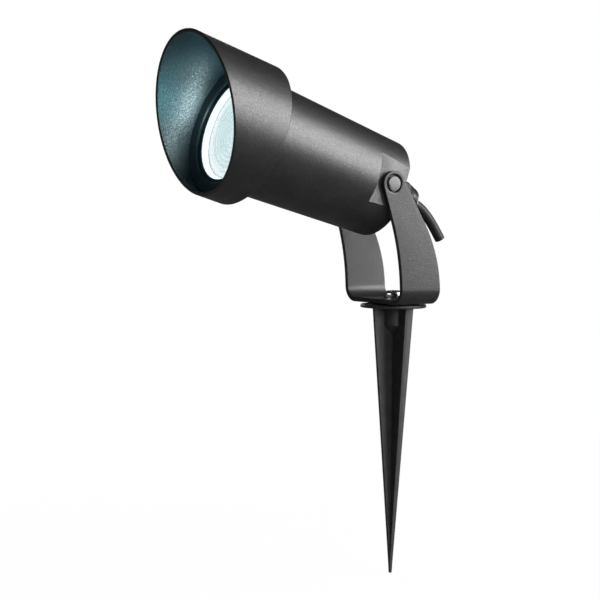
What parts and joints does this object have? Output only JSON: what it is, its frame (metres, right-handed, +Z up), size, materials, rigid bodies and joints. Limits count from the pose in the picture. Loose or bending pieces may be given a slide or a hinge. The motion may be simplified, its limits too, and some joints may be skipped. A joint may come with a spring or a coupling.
{
  "type": "garden spike spotlight",
  "caption": "Outdoor spotlight on a ground spike: tapered tube head with a slant-cut glare shroud, tilting in a swept U stirrup that turns on the spike's flange.",
  "frame": {"origin": "on the spike's axis at the underside of its flange, which is soil level when the spike is pushed in", "axes": "+Z up along the spike's axis; +X along the tilt pivot, towards the ear that the picture shows in front; the head aims towards -Y and up"},
  "size_m": [0.0956, 0.2003, 0.3543],
  "materials": {
    "black_powder_coat": "fine matt powder coat on die-cast aluminium",
    "spike_nylon": "matt glass-filled nylon",
    "black_nylon": "smooth nylon",
    "black_plastic": "satin moulded polyamide",
    "black_silicone": "soft silicone rubber",
    "cord_rubber": "matt rubber sheath",
    "zinc_steel": "bright zinc-plated steel",
    "brass": "plain brass",
    "nickel": "nickel-plated brass",
    "clear_glass": "clear toughened glass",
    "lamp_lens": "frosted polycarbonate lens",
    "white_plastic": "moulded white plastic",
    "led_board": "white solder mask",
    "porcelain": "glazed porcelain",
    "brown_insulation": "PVC insulation",
    "blue_insulation": "PVC insulation",
    "earth_insulation": "PVC insulation"
  },
  "bodies": {
    "spike": {"ground_spike": "spike_nylon", "spike_insert": "brass", "friction_washer": "black_nylon", "base_washer": "zinc_steel", "base_screw": "zinc_steel"},
    "bracket": {"stirrup": "black_powder_coat"},
    "head": {"pivot_screws": "zinc_steel", "pivot_caps": "black_plastic", "pivot_washers": "black_nylon", "housing": "black_powder_coat", "shroud": "black_powder_coat", "front_ring": "black_powder_coat", "front_glass": "clear_glass", "glass_gasket": "black_silicone", "lamp_body": "white_plastic", "lamp_lens": "lamp_lens", "lamp_led_board": "led_board", "lamp_cap": "nickel", "lamp_insulator": "black_plastic", "lamp_contact": "brass", "lampholder": "porcelain", "lampholder_sleeve": "brass", "lampholder_contact": "brass", "lampholder_bridge": "zinc_steel", "bridge_screws": "zinc_steel", "terminal_block": "white_plastic", "terminal_clamps": "brass", "terminal_screws": "zinc_steel", "block_screw": "zinc_steel", "live_core": "brown_insulation", "lamp_lead_live": "brown_insulation", "neutral_core": "blue_insulation", "lamp_lead_neutral": "blue_insulation", "earth_core": "earth_insulation", "earth_tag": "zinc_steel", "earth_screw": "zinc_steel", "gland_body": "black_plastic", "gland_washer": "black_silicone", "gland_locknut": "black_plastic", "gland_seal": "black_silicone", "gland_dome_nut": "black_plastic", "inner_cable": "cord_rubber", "supply_cord": "cord_rubber"}
  },
  "joints": [
    {"name": "pan", "type": "hinge", "parent": "spike", "child": "bracket", "pos_m": [0, 0, 0], "axis": [0, 0, 1], "continuous": true},
    {"name": "tilt", "type": "hinge", "parent": "bracket", "child": "head", "pos_m": [0, -0.0232, 0.08194], "axis": [-1, 0, 0], "range_deg": [-53, 71.65]}
  ]
}
